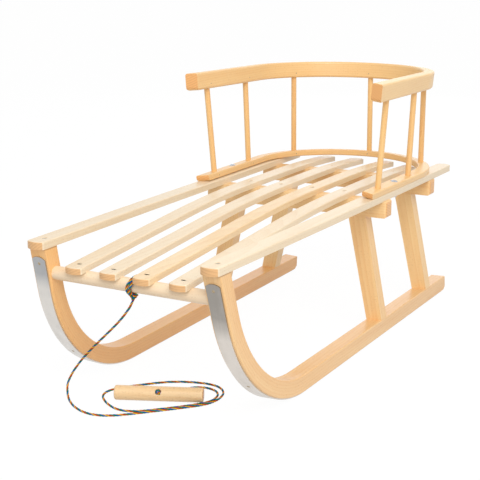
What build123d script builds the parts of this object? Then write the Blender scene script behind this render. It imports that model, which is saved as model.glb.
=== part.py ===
from build123d import *
from math import acos, asin, atan, cos, degrees, pi, radians, sin, sqrt, tan
import os

os.makedirs("parts", exist_ok=True)

# Wooden sled with a bentwood backrest and a tow cord, in millimetres.
# X to the right, Y from the front to the rear, Z up, origin on the floor under the middle.
# A station is a distance from the front tips of the outer slats.

# Whole sled
LENGTH = 950.0
SEAT_TOP = 260.0

# Seat slats
INNER_WIDTH = 29.5
INNER_THICK = 10.0
OUTER_WIDTH = 30.0
OUTER_THICK = 12.0
SLAT_NOSE = 5.5
SLAT_TONGUE = 11.0
SLAT_CORNER_ROUND = 3.5
SLAT_TONGUE_ROUND = 10.0
SLAT_EDGE_ROUND = 2.2
OUTER_FRONT_INSET = 0.0
OUTER_BOLT_INSET = 4.0
OUTER_REAR_INSET = 2.5
OUTER_REAR_SETBACK = 34.0
INNER_FRONT_STATION = 12.0
INNER_DROP_FRONT = 31.5
INNER_DROP_REAR = 8.6
INNER_BEND_AHEAD = 135.0
INNER_BEND_RADIUS = 3000.0
INNER_REAR_BEND = 250.0
SCREW_HEAD = 9.5
SCREW_HEAD_DEPTH = 2.8
SCREW_FROM_FRONT = 27.0

# Columns: node number, x at the front bar, x at the rear crossbar
INNER_SLATS = [(1, -90.0, -98.5), (2, -28.8, -33.4), (3, 28.8, 33.4), (4, 90.0, 98.5)]

# Runners with their steel strips
RUNNER_WIDTH = 30.0
RUNNER_DEPTH = 28.0
RUNNER_HALF_TRACK = 170.4
RUNNER_TILT = 2.69
RUNNER_TOE = 0.66
RUNNER_REAR_SETBACK = 50.0
RUNNER_TOP_STATION = 8.9
RUNNER_BEND_RADIUS = 235.0
RUNNER_LEAN = 14.5
RUNNER_HEEL_LENGTH = 10.0
RUNNER_HEEL_HEIGHT = 7.0
RUNNER_EDGE_ROUND = 2.0
STRIP_WIDTH = 23.0
STRIP_THICK = 2.0
STRIP_REAR_GAP = 4.0
STRIP_TOP_GAP = 14.0
STRIP_TOP_CROWN = 4.0

# Crossbars and legs
CROSSBAR_HALF = 183.0
CROSSBAR_HEIGHT = 30.0
CROSSBAR_WIDTH = 29.0
CROSSBAR_REAR_SETBACK = 148.0
CROSSBAR_SPACING = 227.0
CROSSBAR_END_ROUND = 5.0
LEG_WIDTH = 29.0
LEG_TAPER = 3.4
LEG_DEPTH = 25.0
LEG_TOP_X = 128.0
LEG_TENON_WIDTH = 17.0
LEG_TENON_DEPTH = 14.0
LEG_TENON_LENGTH = 14.0

# Front bar
FRONT_BAR_RADIUS = 10.5
FRONT_BAR_SINK = 0.6
FRONT_BAR_TENON = 16.0

# Backrest, with radii of the rails' middle lines
LOWER_RAIL_RADIUS = 170.0
LOWER_RAIL_WIDTH = 23.0
LOWER_RAIL_HEIGHT = 12.0
LOWER_RAIL_FLARE = -1.2
LOWER_RAIL_CANT = 6.0
LOWER_RAIL_ROUND = 2.5
LOWER_RAIL_UNDER_ROUND = 8.5
LOWER_RAIL_REAR_SETBACK = 197.0
UPPER_RAIL_RADIUS = 175.5
UPPER_RAIL_WIDTH = 21.0
UPPER_RAIL_HEIGHT = 31.5
UPPER_RAIL_FLARE = 1.34
UPPER_RAIL_CANT = 5.0
UPPER_RAIL_ROUND = 4.0
UPPER_RAIL_UNDER_ROUND = 7.0
UPPER_RAIL_REAR_SETBACK = 207.0
UPPER_RAIL_RISE = 176.0
UPPER_RAIL_PITCH = 0.7
RAIL_ARM = 245.0
RAIL_TIP_SLANT = 7.0
RAIL_TIP_OVER_ROUND = 1.8
RAIL_TIP_SPARE = 0.12
SPINDLE_RADIUS = 5.3
SPINDLE_PAST_LOWER = 2.0
SPINDLE_PAST_UPPER = 4.0

# Places of the spindles: from the arms' tips, ahead of the bend, and round the bend in degrees
FIRST_SPINDLE_LOWER = 52.0
FIRST_SPINDLE_UPPER = 57.0
SECOND_SPINDLE_LOWER = 52.0
SECOND_SPINDLE_UPPER = 43.0
THIRD_SPINDLE_LOWER_ANGLE = 34.3
THIRD_SPINDLE_UPPER_ANGLE = 36.3

# Backrest bolts, placed along the lower rail's arms ahead of its bend
BOLT_AHEAD_OF_BEND = 119.0
BOLT_RADIUS = 3.0
BOLT_HEAD_RADIUS = 7.0
BOLT_HEAD_HEIGHT = 3.2
BOLT_TAIL = 5.5
BOLT_NUT_RADIUS = 5.8
BOLT_NUT_HEIGHT = 4.5
BOLT_CLEARANCE = 0.2

# Tow cord, handle and knot
CORD_RADIUS = 2.0
HANDLE_RADIUS = 11.5
HANDLE_LENGTH = 139.0
HANDLE_END_ROUND = 3.0
HANDLE_HOLE_RADIUS = 5.0
HANDLE_HOLE_RISE = 35.0
HANDLE_X = -7.5
HANDLE_STATION = 114.0
HANDLE_TURN = 23.8
KNOT_X = 4.5
KNOT_WIDTH = 9.0
KNOT_BALL_RADIUS = 5.5
KNOT_BALL_AHEAD = 2.0

# Derived levels and stations
MIDDLE = LENGTH / 2
SLAT_UNDER = SEAT_TOP - INNER_THICK
OUTER_TOP = SLAT_UNDER + OUTER_THICK
BAR_UNDER = SLAT_UNDER - CROSSBAR_HEIGHT
BAR_REAR = LENGTH - CROSSBAR_REAR_SETBACK
BAR_FRONT = BAR_REAR - CROSSBAR_SPACING
OUTER_REAR = LENGTH - OUTER_REAR_SETBACK
LOWER_CENTRE = LENGTH - LOWER_RAIL_REAR_SETBACK
UPPER_CENTRE = LENGTH - UPPER_RAIL_REAR_SETBACK
LOWER_MIDDLE = OUTER_TOP + LOWER_RAIL_HEIGHT / 2
RUNNER_REAR = LENGTH - RUNNER_REAR_SETBACK
RUNNER_TURN = 90 - RUNNER_LEAN
RUNNER_LIFT = STRIP_WIDTH / 2 * sin(radians(RUNNER_TILT))
SOLE = STRIP_THICK
RUNNER_TOP = SOLE + RUNNER_DEPTH
STRIP_TOP = SLAT_UNDER - STRIP_TOP_GAP
BEND_CENTRE = SOLE + RUNNER_BEND_RADIUS
BEND_END = BEND_CENTRE - RUNNER_BEND_RADIUS * cos(radians(RUNNER_TURN))
LEAN_RUN = (SLAT_UNDER - BEND_END) * tan(radians(RUNNER_LEAN))
BEND_STATION = RUNNER_TOP_STATION + LEAN_RUN + RUNNER_BEND_RADIUS * sin(radians(RUNNER_TURN))
AMPLE = 2 * LENGTH
STANDING = (Align.CENTER, Align.CENTER, Align.MIN)
HANGING = (Align.CENTER, Align.CENTER, Align.MAX)


def put(node, shape):
    """Write one named piece and report its size."""
    export_step(shape, f"parts/{node}.step")
    print(f"{node}: {len(shape.solids())} solid, {shape.volume / 1000:.1f} cm3")


def put_pair(node, shape):
    """Write the right piece and its mirror image on the left."""
    put(f"{node}_right", shape)
    put(f"{node}_left", mirror(shape, Plane.YZ))


def box_between(x0, x1, s0, s1, z0, z1):
    """Box between two widths, stations and heights."""
    return Pos((x0 + x1) / 2, (s0 + s1) / 2 - MIDDLE, (z0 + z1) / 2) * Box(x1 - x0, s1 - s0, z1 - z0)


def upright_plane(shape):
    """Stand a face drawn as station and height in the plane of Y and Z."""
    return Plane(origin=(0, -MIDDLE, 0), x_dir=(0, 1, 0), z_dir=(1, 0, 0)) * shape


def bend_point(radius, turn):
    """Point of the runner's bend, as station and height, after the given turn from the floor."""
    return (BEND_STATION - radius * sin(radians(turn)), BEND_CENTRE - radius * cos(radians(turn)))


def up_the_lean(point, height):
    """Point further up the leaning front of the runner."""
    return (point[0] - (height - point[1]) * tan(radians(RUNNER_LEAN)), height)


def side_face(outer, inner, top, rear):
    """Runner-like face between two bend radii, in the plane of station and height."""
    end_out = bend_point(outer, RUNNER_TURN)
    end_in = bend_point(inner, RUNNER_TURN)
    start_out = bend_point(outer, 0)
    start_in = bend_point(inner, 0)
    outline = Curve() + [
        Polyline(start_out, *rear, start_in),
        ThreePointArc(start_in, bend_point(inner, RUNNER_TURN / 2), end_in),
        Polyline(end_in, up_the_lean(end_in, top), up_the_lean(end_out, top), end_out),
        ThreePointArc(end_out, bend_point(outer, RUNNER_TURN / 2), start_out),
    ]
    return make_face(outline)


def runner_middle(station, height):
    """X of the right runner's middle plane, which leans in and toes in."""
    toe = (RUNNER_REAR - station) * tan(radians(RUNNER_TOE))
    lean = (height - RUNNER_LIFT) * tan(radians(RUNNER_TILT)) / cos(radians(RUNNER_TOE))
    return RUNNER_HALF_TRACK - toe - lean


RUNNER_PLACE = (
    Pos(RUNNER_HALF_TRACK, RUNNER_REAR - MIDDLE, RUNNER_LIFT)
    * Rot(0, 0, -RUNNER_TOE)
    * Rot(0, -RUNNER_TILT, 0)
    * Pos(0, MIDDLE - RUNNER_REAR, 0)
)

# Runner of the right side, bent up at the front and chamfered at the heel
heel = [
    (RUNNER_REAR - RUNNER_HEEL_LENGTH, SOLE),
    (RUNNER_REAR, SOLE + RUNNER_HEEL_HEIGHT),
    (RUNNER_REAR, RUNNER_TOP),
]
wood = side_face(RUNNER_BEND_RADIUS, RUNNER_BEND_RADIUS - RUNNER_DEPTH, SEAT_TOP, heel)
runner = extrude(upright_plane(wood), RUNNER_WIDTH / 2, both=True)
runner = fillet(runner.edges().filter_by(GeomType.CIRCLE), RUNNER_EDGE_ROUND)
runner = RUNNER_PLACE * runner
runner &= box_between(0, AMPLE, -AMPLE, AMPLE, -AMPLE, SLAT_UNDER)

# Steel strip under the runner, with a crowned top end
strip_rear = RUNNER_REAR - RUNNER_HEEL_LENGTH - STRIP_REAR_GAP
strip_end = [(strip_rear, 0), (strip_rear, SOLE)]
strip_face = side_face(RUNNER_BEND_RADIUS + STRIP_THICK, RUNNER_BEND_RADIUS, STRIP_TOP, strip_end)
strip = extrude(upright_plane(strip_face), STRIP_WIDTH / 2, both=True)
crown_radius = (STRIP_WIDTH**2 / 4 + STRIP_TOP_CROWN**2) / (2 * STRIP_TOP_CROWN)
crown_foot = STRIP_TOP - 2 * STRIP_TOP_CROWN
crown = box_between(-STRIP_WIDTH, STRIP_WIDTH, -AMPLE, BEND_STATION, crown_foot, SEAT_TOP)
crown -= Pos(0, 0, STRIP_TOP - crown_radius) * Rot(90, 0, 0) * Cylinder(crown_radius, 4 * AMPLE)
strip = RUNNER_PLACE * (strip - crown)

# Front bar, let into both runners at the middle of their depth
bar_z = SLAT_UNDER - INNER_DROP_FRONT - FRONT_BAR_RADIUS + FRONT_BAR_SINK
bar_station = up_the_lean(bend_point(RUNNER_BEND_RADIUS - RUNNER_DEPTH / 2, RUNNER_TURN), bar_z)[0]
bar_half = runner_middle(bar_station, bar_z) - RUNNER_WIDTH / 2 + FRONT_BAR_TENON
bar_line = Pos(0, bar_station - MIDDLE, bar_z) * Rot(0, 90, 0)
front_bar = bar_line * Cylinder(FRONT_BAR_RADIUS, 2 * bar_half)

# Crossbars, and tapered legs tenoned into them and into the runners
above_runner = RUNNER_PLACE * Pos(0, 0, RUNNER_TOP + AMPLE / 2) * Box(AMPLE, AMPLE, AMPLE)
foot_z = RUNNER_TOP + RUNNER_LIFT
crossbars = {}
for name, station in (("front", BAR_FRONT), ("rear", BAR_REAR)):
    half = CROSSBAR_WIDTH / 2
    bar = box_between(-CROSSBAR_HALF, CROSSBAR_HALF, station - half, station + half, BAR_UNDER, SLAT_UNDER)
    bar = fillet(bar.faces().filter_by(Axis.X).edges(), CROSSBAR_END_ROUND)
    splay = atan((runner_middle(station, foot_z) - LEG_TOP_X) / (BAR_UNDER - foot_z))
    lean = Pos(LEG_TOP_X, station - MIDDLE, BAR_UNDER) * Rot(0, -degrees(splay), 0)
    span = (BAR_UNDER - foot_z) / cos(splay)
    outer = LEG_WIDTH / 2
    corners = [
        (outer, -2 * span), (outer, span), (-outer - 2 * LEG_TAPER, span), (-outer + LEG_TAPER, -2 * span),
    ]
    body = lean * extrude(Plane.XZ * Polygon(*corners, align=None), LEG_DEPTH / 2, both=True)
    body &= box_between(0, AMPLE, -AMPLE, AMPLE, 0, BAR_UNDER)
    body &= above_runner
    core = lean * Pos(0, 0, -span / 2) * Box(LEG_TENON_WIDTH, LEG_TENON_DEPTH, span + 2 * LEG_TENON_LENGTH)
    runner -= core
    put_pair(f"leg_{name}", body + core)
    crossbars[name] = bar - core - mirror(core, Plane.YZ)

put_pair("runner", runner - front_bar)
put_pair("runner_strip", strip)


def screw_recess(x, station, z):
    """Countersunk hole for one screw head."""
    tool = Cone(SCREW_HEAD / 4, SCREW_HEAD / 2, SCREW_HEAD_DEPTH, align=HANGING)
    return Pos(x, station - MIDDLE, z) * tool


def slat_plan(left, right, front, rear):
    """Plan of a slat between two long edges, with a nose in front and a tongue behind."""
    ends = [ThreePointArc(left @ 0, front, right @ 0), ThreePointArc(left @ 1, rear, right @ 1)]
    plan = make_face(Curve() + [left, right, *ends])
    plan = fillet(plan.vertices().sort_by(Axis.Y)[:2], SLAT_CORNER_ROUND)
    return fillet(plan.vertices().sort_by(Axis.Y)[-2:], SLAT_TONGUE_ROUND)


# Places of the two bent rails, the upper one a little higher at the front
LOWER_PLACE = Pos(0, LOWER_CENTRE - MIDDLE, LOWER_MIDDLE)
UPPER_PLACE = Pos(0, UPPER_CENTRE - MIDDLE, LOWER_MIDDLE + UPPER_RAIL_RISE) * Rot(-UPPER_RAIL_PITCH, 0, 0)


def arm_point(radius, flare, ahead):
    """Point on the middle line of a rail's arm, at a distance ahead of the bend's centre."""
    turn = radians(flare)
    return (radius * cos(turn) + (ahead - radius * sin(turn)) * tan(turn), -ahead)


def bent_point(radius, angle):
    """Point on the middle line of a rail's bend, at an angle behind the arms."""
    return (radius * cos(radians(angle)), radius * sin(radians(angle)))


def lower_spot(point):
    """Place of a point of the lower rail's middle line in the sled."""
    return (LOWER_PLACE * Pos(*point, 0)).position


def upper_spot(point):
    """Place of a point of the upper rail's middle line in the sled."""
    return (UPPER_PLACE * Pos(*point, 0)).position


# Outer slat of the right side, bowed outwards in plan from the runner's top to under the rail's arm
bolt_spot = lower_spot(arm_point(LOWER_RAIL_RADIUS, LOWER_RAIL_FLARE, BOLT_AHEAD_OF_BEND))
outer_front_x = runner_middle(RUNNER_TOP_STATION, SLAT_UNDER) - OUTER_FRONT_INSET
outer_bolt_x = bolt_spot.X - OUTER_BOLT_INSET
outer_rear_x = LOWER_RAIL_RADIUS - OUTER_REAR_INSET


def bow(offset):
    """Arc in plan along the outer slat at a distance from its middle line."""
    front = (outer_front_x + offset, SLAT_NOSE)
    rear = (outer_rear_x + offset, OUTER_REAR - SLAT_TONGUE)
    return ThreePointArc(front, (outer_bolt_x + offset, bolt_spot.Y + MIDDLE), rear)


outer_plan = slat_plan(
    bow(-OUTER_WIDTH / 2), bow(OUTER_WIDTH / 2), (outer_front_x, 0), (outer_rear_x, OUTER_REAR)
)
outer_slat = Pos(0, -MIDDLE, SLAT_UNDER) * extrude(outer_plan, OUTER_THICK)
outer_slat = fillet(outer_slat.faces().sort_by(Axis.Z)[-1].edges(), SLAT_EDGE_ROUND)
outer_slat -= screw_recess(outer_front_x, SCREW_FROM_FRONT, OUTER_TOP)

# Inner slat: a rising front, a flat seat over the front crossbar and a long arc down to the rear
front_level = SEAT_TOP - INNER_DROP_FRONT
inner_bend = BAR_FRONT - INNER_BEND_AHEAD
rise = INNER_DROP_FRONT / (inner_bend - bar_station)
flat_end = LENGTH - INNER_REAR_BEND
rear_radius = (INNER_REAR_BEND**2 + INNER_DROP_REAR**2) / (2 * INNER_DROP_REAR)
rear_turn = asin((INNER_REAR_BEND + SLAT_TONGUE) / rear_radius)
rear_level = SEAT_TOP - rear_radius + sqrt(rear_radius**2 - (BAR_REAR - flat_end) ** 2)


def slat_front(depth):
    """Front end of one face of the inner slat's blank, at a depth below its top."""
    ahead = INNER_FRONT_STATION - SLAT_NOSE
    return (ahead, front_level - rise * (bar_station - ahead) - depth)


def slat_rear(depth):
    """Rear end of one face of the inner slat's blank, at a depth below its top."""
    radius = rear_radius - depth
    return (flat_end + radius * sin(rear_turn), SEAT_TOP - rear_radius + radius * cos(rear_turn))


def slat_line(depth):
    """Side view of one face of the inner slat's blank, at a depth below its top."""
    knee = (inner_bend, SEAT_TOP - depth)
    flat = (flat_end, SEAT_TOP - depth)
    return [
        *FilletPolyline(slat_front(depth), knee, flat, radius=INNER_BEND_RADIUS - depth).edges(),
        TangentArc(flat, slat_rear(depth), tangent=(1, 0)),
    ]


def is_cross_line(edge):
    """Tell a straight line across the slat from the rim of its top."""
    return edge.geom_type == GeomType.LINE and abs((edge % 0.5).X) > 0.9


front_end = Line(slat_front(0), slat_front(INNER_THICK))
rear_end = Line(slat_rear(0), slat_rear(INNER_THICK))
profile = make_face(Curve() + [*slat_line(0), *slat_line(INNER_THICK), front_end, rear_end])
sides = []
for x in (-INNER_WIDTH / 2, INNER_WIDTH / 2):
    sides.append(Line((x, INNER_FRONT_STATION + SLAT_NOSE), (x, LENGTH - SLAT_TONGUE)))
inner_plan = slat_plan(*sides, (0, INNER_FRONT_STATION), (0, LENGTH))
blank = extrude(upright_plane(profile), INNER_WIDTH, both=True)
blank &= Pos(0, -MIDDLE, 0) * extrude(inner_plan, 2 * SEAT_TOP)
tops = blank.faces().filter_by(lambda face: face.normal_at(face.center()).Z > cos(radians(45)))
blank = fillet([edge for edge in tops.edges() if not is_cross_line(edge)], SLAT_EDGE_ROUND)

for number, front_x, rear_x in INNER_SLATS:
    fan = -degrees(atan((rear_x - front_x) / (BAR_REAR - bar_station)))
    place = Pos(front_x, bar_station - MIDDLE, 0) * Rot(0, 0, fan) * Pos(0, MIDDLE - bar_station, 0)
    slat = blank
    for station, level in ((bar_station, front_level), (BAR_FRONT, SEAT_TOP), (BAR_REAR, rear_level)):
        slat -= screw_recess(0, station, level)
    slat = place * slat
    front_bar -= slat
    crossbars["rear"] -= slat
    put(f"slat_inner_{number}", slat)

put("front_bar", front_bar)
for name, bar in crossbars.items():
    put(f"crossbar_{name}", bar)


# Backrest rails, each bent from one length into a U whose section leans outwards
def rail(radius, width, height, flare, cant, edge_round, under_round):
    """Bent rail about the centre of its bend, with flared arms and tips cut on the slant."""
    turn = radians(flare)
    tip = arm_point(radius, flare, RAIL_ARM)
    start = (radius * cos(turn), -radius * sin(turn))
    path = Wire([
        Line(tip, start),
        ThreePointArc(start, (0, radius), (-start[0], start[1])),
        Line((-start[0], start[1]), (-tip[0], tip[1])),
    ])
    mouth = Plane(origin=(*tip, 0), x_dir=(cos(turn), sin(turn), 0), z_dir=(-sin(turn), cos(turn), 0))
    section = mouth * Rot(0, 0, cant) * RectangleRounded(width, height, edge_round)
    solid = sweep(section, path=path)
    slant = -degrees(atan(RAIL_TIP_SLANT / width))
    nose = Pos(0, 2 * width, 0) * Box(6 * width, 4 * width, height + RAIL_TIP_SPARE)
    fore = nose.edges().filter_by(Axis.X).group_by(Axis.Y)[0].sort_by(Axis.Z)
    nose = fillet(fore[:1], under_round)
    fore = nose.edges().filter_by(Axis.X).sort_by(Axis.Z)[-2:].sort_by(Axis.Y)
    nose = fillet(fore[:1], RAIL_TIP_OVER_ROUND)
    lie = Rot(0, 0, flare) * Rot(0, cant, 0) * Rot(0, 0, slant)
    nose = Pos(tip[0], tip[1] + RAIL_TIP_SLANT, 0) * lie * nose
    waste = Pos(tip[0], tip[1], 0) * Box(2 * width, 4 * RAIL_TIP_SLANT + 2 * under_round, 2 * height)
    waste -= nose
    return solid - waste - mirror(waste, Plane.YZ)


lower = LOWER_PLACE * rail(
    LOWER_RAIL_RADIUS, LOWER_RAIL_WIDTH, LOWER_RAIL_HEIGHT, LOWER_RAIL_FLARE,
    LOWER_RAIL_CANT, LOWER_RAIL_ROUND, LOWER_RAIL_UNDER_ROUND,
)
upper = UPPER_PLACE * rail(
    UPPER_RAIL_RADIUS, UPPER_RAIL_WIDTH, UPPER_RAIL_HEIGHT, UPPER_RAIL_FLARE,
    UPPER_RAIL_CANT, UPPER_RAIL_ROUND, UPPER_RAIL_UNDER_ROUND,
)

# The lower rail is planed flat where it lies on the outer slats
lower &= box_between(-AMPLE, AMPLE, -AMPLE, AMPLE, OUTER_TOP, AMPLE)

# Spindles from one front end round to the other
first = (
    arm_point(LOWER_RAIL_RADIUS, LOWER_RAIL_FLARE, RAIL_ARM - FIRST_SPINDLE_LOWER),
    arm_point(UPPER_RAIL_RADIUS, UPPER_RAIL_FLARE, RAIL_ARM - FIRST_SPINDLE_UPPER),
)
second = (
    arm_point(LOWER_RAIL_RADIUS, LOWER_RAIL_FLARE, SECOND_SPINDLE_LOWER),
    arm_point(UPPER_RAIL_RADIUS, UPPER_RAIL_FLARE, SECOND_SPINDLE_UPPER),
)
third = (
    bent_point(LOWER_RAIL_RADIUS, THIRD_SPINDLE_LOWER_ANGLE),
    bent_point(UPPER_RAIL_RADIUS, THIRD_SPINDLE_UPPER_ANGLE),
)
rear = (bent_point(LOWER_RAIL_RADIUS, 90), bent_point(UPPER_RAIL_RADIUS, 90))
# Columns: node number, side, points on the lower and the upper rail
SPINDLES = [
    (1, -1, first), (2, -1, second), (3, -1, third), (4, 1, rear),
    (5, 1, third), (6, 1, second), (7, 1, first),
]
for number, side, (low, high) in SPINDLES:
    foot = lower_spot((side * low[0], low[1]))
    head = upper_spot((side * high[0], high[1]))
    along = (head - foot).normalized()
    length = (head - foot).length + SPINDLE_PAST_LOWER + SPINDLE_PAST_UPPER
    start = Plane(origin=foot - along * SPINDLE_PAST_LOWER, z_dir=along)
    rod = start * Cylinder(SPINDLE_RADIUS, length, align=STANDING)
    lower -= rod
    upper -= rod
    put(f"spindle_{number}", rod)

# Bolts that hold the backrest on the outer slats, on a flat sunk into the leaning rail
rail_lean = radians(LOWER_RAIL_CANT)
bolt_seat = LOWER_MIDDLE + LOWER_RAIL_HEIGHT / 2 / cos(rail_lean) - BOLT_HEAD_RADIUS * tan(rail_lean)
grip = bolt_seat - SLAT_UNDER
dome_radius = (BOLT_HEAD_RADIUS**2 + BOLT_HEAD_HEIGHT**2) / (2 * BOLT_HEAD_HEIGHT)
dome = Pos(0, 0, BOLT_HEAD_HEIGHT - dome_radius) * Sphere(dome_radius)
dome &= Cylinder(2 * BOLT_HEAD_RADIUS, BOLT_HEAD_HEIGHT, align=STANDING)
bolt = dome + Cylinder(BOLT_RADIUS, grip + BOLT_TAIL, align=HANGING)
bolt += Pos(0, 0, -grip) * extrude(RegularPolygon(BOLT_NUT_RADIUS, 6), -BOLT_NUT_HEIGHT)
bolt_place = Pos(bolt_spot.X, bolt_spot.Y, bolt_seat)
bolt_hole = bolt_place * Cylinder(BOLT_RADIUS + BOLT_CLEARANCE, AMPLE)
bolt_flat = bolt_place * Cylinder(BOLT_HEAD_RADIUS + BOLT_CLEARANCE, LOWER_RAIL_HEIGHT, align=STANDING)
for hole in (bolt_hole, bolt_flat):
    lower -= hole
    lower -= mirror(hole, Plane.YZ)
put_pair("backrest_bolt", bolt_place * bolt)
put_pair("slat_outer", outer_slat - bolt_hole)
put("back_rail_lower", lower)
put("back_rail_upper", upper)

# Handle lying on the floor, with a cross hole for the cord
handle_place = Pos(HANDLE_X, HANDLE_STATION - MIDDLE, HANDLE_RADIUS) * Rot(0, 0, HANDLE_TURN)
handle = Rot(0, 90, 0) * Cylinder(HANDLE_RADIUS, HANDLE_LENGTH)
handle = fillet(handle.edges().filter_by(GeomType.CIRCLE), HANDLE_END_ROUND)
handle -= Rot(90 - HANDLE_HOLE_RISE, 0, 0) * Cylinder(HANDLE_HOLE_RADIUS, 4 * HANDLE_RADIUS)
put("tow_handle", handle_place * handle)

# Knot round the front bar
knot = Pos(KNOT_X, 0, 0) * bar_line * Cylinder(FRONT_BAR_RADIUS + 2 * CORD_RADIUS, KNOT_WIDTH)
ball_z = bar_z - FRONT_BAR_RADIUS - 2 * CORD_RADIUS
knot += Pos(KNOT_X, bar_station - MIDDLE - KNOT_BALL_AHEAD, ball_z) * Sphere(KNOT_BALL_RADIUS)
knot -= bar_line * Cylinder(FRONT_BAR_RADIUS, 4 * KNOT_WIDTH)

# Cord from the knot down to the floor and twice round the handle: x, station, height
CORD = [
    (5, 34.5, 190), (-2.8, 37, 176), (-13.5, 38.6, 162), (-27.5, 40, 146), (-50.5, 46.2, 125),
    (-81, 55, 98), (-108, 66, 74), (-130, 76, 53), (-145, 76, 33), (-150, 69, 16), (-143, 60, 6),
    (-130, 46, 2), (-109, 29, 2), (-86, 18, 2), (-66, 15, 2), (-45, 20, 2), (-26, 33, 2), (-8, 51, 2),
    (10.2, 69.6, 2), (28.9, 89.1, 2), (46, 107.4, 2), (60.1, 123, 2), (70, 140, 2), (73.5, 162, 2),
    (67.5, 187, 2), (49, 205, 2), (24, 208, 2), (-5, 200, 2), (-29, 188, 2), (-48, 172, 2),
    (-66, 152, 2), (-82, 134, 2), (-95, 115, 2), (-98, 97, 2), (-92, 82, 2), (-79, 69, 2), (-61, 57, 2),
    (-43, 50, 2), (-26, 51, 2), (-8, 60, 2), (6, 73.5, 2), (23.2, 91, 2), (40.4, 109.2, 2),
    (55.6, 127.6, 2), (65, 142, 2), (67.5, 157, 2), (64, 174, 2), (53, 187, 2), (36, 192, 2),
    (19, 188, 2), (5, 173, 2), (-6, 155, 2), (-12, 141, 2), (-13, 131, 2.2), (-10.9, 122.9, 5),
    (-8.3, 116.9, 9.2),
]
points = [Vector(x, s - MIDDLE, z) for x, s, z in CORD]
radii = []
for before, here, after in zip(points, points[1:], points[2:]):
    a = here - before
    b = after - here
    half_turn = acos(a.normalized().dot(b.normalized())) / 2
    radii.append(0.45 * min(a.length, b.length) / tan(half_turn))
path = FilletPolyline(*points, radius=radii)
section = Plane(origin=path @ 0, z_dir=path % 0) * Circle(CORD_RADIUS)
cord = sweep(section, path=path)
put("tow_cord", cord)
put("tow_knot", knot - cord)
print("cord radii", [round(r) for r in radii])
print(f"cord length {path.length:.0f} mm, tightest bend {min(radii):.1f} mm, widest {max(radii):.0f} mm")
print(f"cord volume ratio {cord.volume / (pi * CORD_RADIUS**2 * path.length):.4f}")
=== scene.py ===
"""Dress a wooden sled: beech with its grain, steel strips, screws and a twisted tow cord."""

import logging
import math
from collections.abc import Iterable, Sequence
from dataclasses import dataclass, field
from enum import Enum

import bmesh
import bpy
from mathutils import Matrix, Vector
from mathutils.bvhtree import BVHTree


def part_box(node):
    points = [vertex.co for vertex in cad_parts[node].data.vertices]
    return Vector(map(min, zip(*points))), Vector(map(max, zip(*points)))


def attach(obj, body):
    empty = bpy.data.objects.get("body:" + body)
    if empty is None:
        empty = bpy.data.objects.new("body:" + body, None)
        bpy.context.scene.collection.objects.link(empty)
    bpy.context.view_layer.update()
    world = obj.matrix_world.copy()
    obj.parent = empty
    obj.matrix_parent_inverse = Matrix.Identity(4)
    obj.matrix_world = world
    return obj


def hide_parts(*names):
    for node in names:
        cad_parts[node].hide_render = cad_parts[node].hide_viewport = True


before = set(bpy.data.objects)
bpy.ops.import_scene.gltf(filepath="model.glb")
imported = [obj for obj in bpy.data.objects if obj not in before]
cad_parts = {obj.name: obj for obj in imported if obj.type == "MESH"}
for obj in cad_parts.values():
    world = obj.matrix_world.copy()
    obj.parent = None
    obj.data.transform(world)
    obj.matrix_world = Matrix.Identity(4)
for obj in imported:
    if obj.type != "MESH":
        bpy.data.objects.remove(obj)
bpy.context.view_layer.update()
LOG = logging.getLogger("sled")

BODY = "root"
MM = 0.001

Point = tuple[float, float, float]
Colour = tuple[float, float, float]
Socket = bpy.types.NodeSocket
Feed = Socket | float | Sequence[float]


class Grain(Enum):
    """The way the fibres of a piece of beech run."""

    LENGTHWISE = "lengthwise"
    CROSSWISE = "crosswise"
    UPRIGHT = "upright"
    LEG_LEFT = "leg_left"
    LEG_RIGHT = "leg_right"
    HANDLE = "handle"
    RUNNER_BEND = "runner_bend"
    LOWER_RAIL_BEND = "lower_rail_bend"
    UPPER_RAIL_BEND = "upper_rail_bend"


class Side(Enum):
    """Left or right as seen from the front, with the sign of X there."""

    LEFT = -1
    RIGHT = 1


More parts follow.
